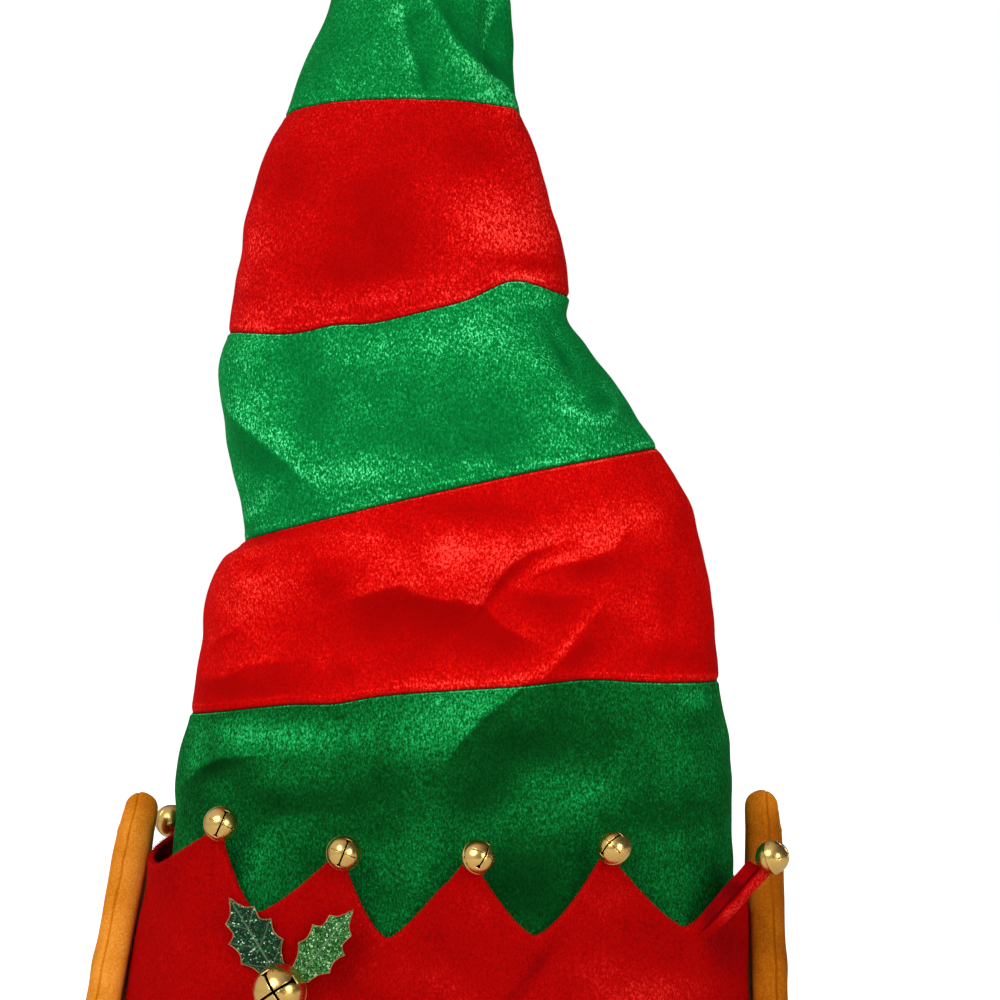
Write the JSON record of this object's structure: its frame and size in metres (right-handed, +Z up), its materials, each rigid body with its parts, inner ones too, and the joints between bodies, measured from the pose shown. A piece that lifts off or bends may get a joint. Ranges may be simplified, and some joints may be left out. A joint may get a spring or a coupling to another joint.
{
  "type": "elf hat",
  "caption": "Tall pointed elf hat in striped velour with a turned-up zigzag cuff, jingle bells on its points, a holly sprig and padded felt ears.",
  "frame": {"origin": "middle of the hat's footprint, on the ground that its rim stands on", "axes": "+Z up from the rim to the tip, -Y towards the front that carries the holly, +X to the viewer's right when looking at the front"},
  "size_m": [0.2988, 0.148, 0.584],
  "materials": {
    "cuff_velour": "short-pile velour, doubled",
    "green_velour": "short-pile velour with a bright nap",
    "red_velour": "short-pile velour with a bright nap",
    "bell_brass": "polished, pressed",
    "glitter_leaf": "glitter coated, gilt edge",
    "ear_felt": "matt felt, padded"
  },
  "bodies": {
    "root": {"cuff": "cuff_velour", "stripe_1_green": "green_velour", "stripe_2_red": "red_velour", "stripe_3_green": "green_velour", "stripe_4_red": "red_velour", "stripe_5_green": "green_velour", "tip_red": "red_velour", "bell_1": "bell_brass", "bell_2": "bell_brass", "bell_3": "bell_brass", "bell_4": "bell_brass", "bell_5": "bell_brass", "bell_6": "bell_brass", "bell_7": "bell_brass", "bell_8": "bell_brass", "bell_9": "bell_brass", "bell_10": "bell_brass", "bell_11": "bell_brass", "holly_bell": "bell_brass", "holly_leaf_left": "glitter_leaf", "holly_leaf_right": "glitter_leaf", "ear_left": "ear_felt", "ear_right": "ear_felt"}
  },
  "joints": []
}
